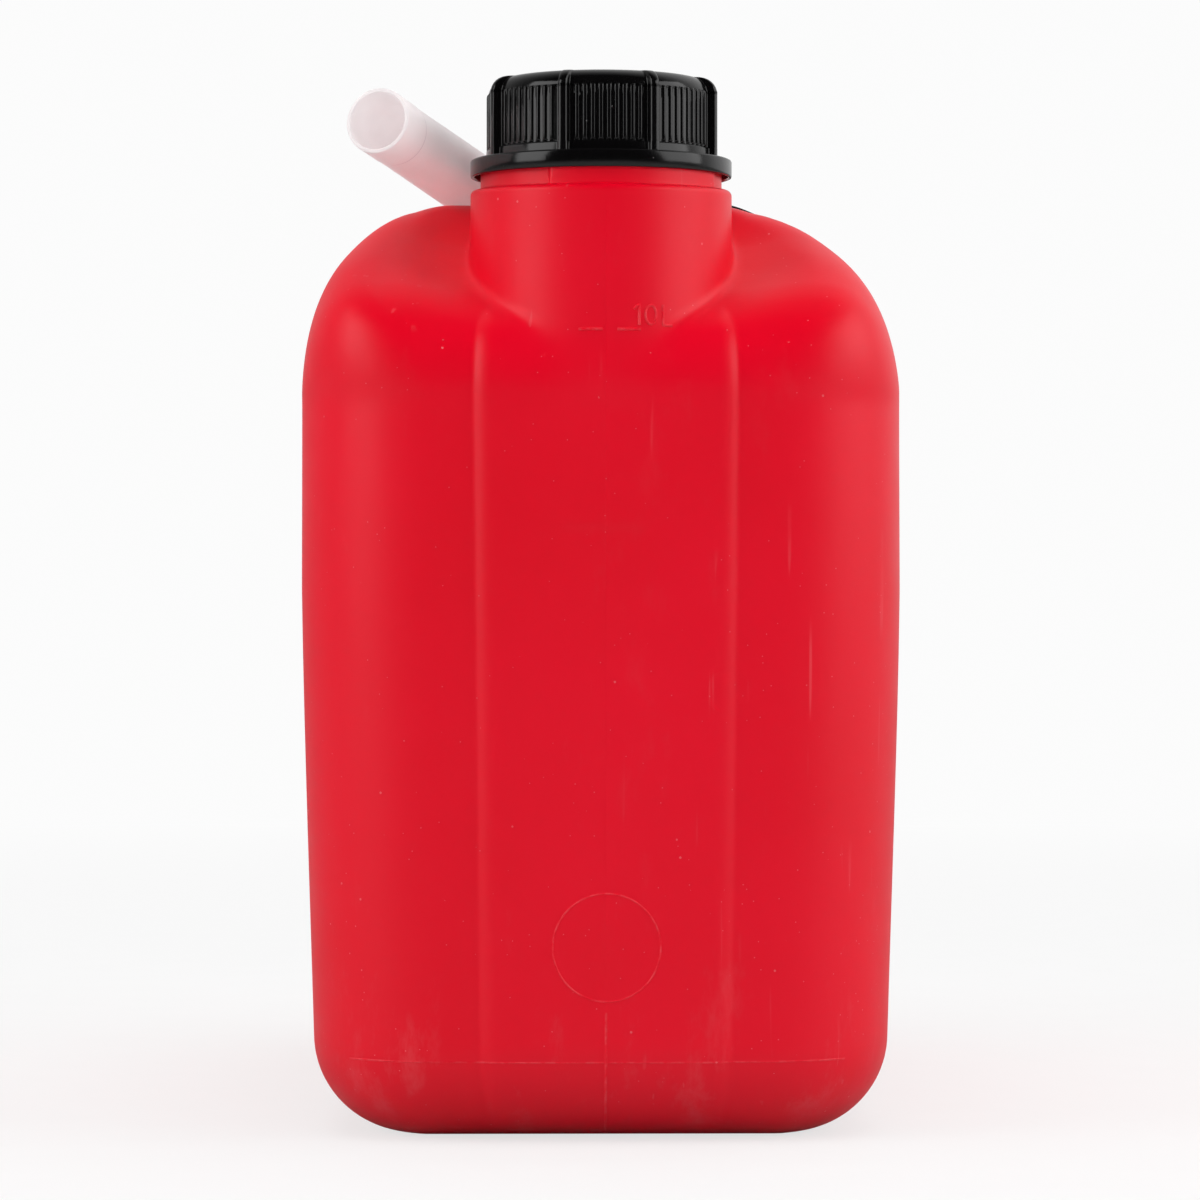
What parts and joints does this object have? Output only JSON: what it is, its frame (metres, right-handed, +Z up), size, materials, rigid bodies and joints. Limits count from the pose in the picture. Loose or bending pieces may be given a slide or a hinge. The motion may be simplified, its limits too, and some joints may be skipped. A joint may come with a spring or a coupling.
{
  "type": "jerry can",
  "caption": "Plastic fuel can with a carrying handle, a ribbed screw cap and a pouring spout stowed under the handle.",
  "frame": {"origin": "centre of the base face", "axes": "+Z up, neck and front panel at the -Y end, +X to the right when looking at the front panel"},
  "size_m": [0.1666, 0.314, 0.2925],
  "materials": {
    "canister_red": "satin",
    "closure_black": "gloss",
    "spout_natural": "satin",
    "seal_rubber": "matte"
  },
  "bodies": {
    "can": {"canister": "canister_red"},
    "cap_disc": {"cap_seal": "seal_rubber"},
    "cap": {"screw_cap": "closure_black"},
    "spout": {"spout_tube": "spout_natural", "spout_seal": "seal_rubber"},
    "nut": {"spout_nut": "closure_black"}
  },
  "joints": [
    {"name": "cap_lift", "type": "slide", "parent": "can", "child": "cap_disc", "axis": [0, 0, 1], "range_m": [0, 0.0091]},
    {"name": "cap_turn", "type": "hinge", "parent": "cap_disc", "child": "cap", "pos_m": [0, -0.1207, 0.288], "axis": [0, 0, 1], "range_deg": [0, 540]},
    {"name": "spout_swing", "type": "hinge", "parent": "can", "child": "spout", "pos_m": [0, 0.008, 0.249], "axis": [0, 0, -1], "range_deg": [0, 60]},
    {"name": "nut_spin", "type": "hinge", "parent": "spout", "child": "nut", "pos_m": [0.0373, 0.08252, 0.23926], "axis": [0.4729, 0.8761, -0.0941], "continuous": true}
  ],
  "couplings": [
    {"joint": "cap_lift", "follows": "cap_turn", "m_per_rad": 0.00095493}
  ]
}
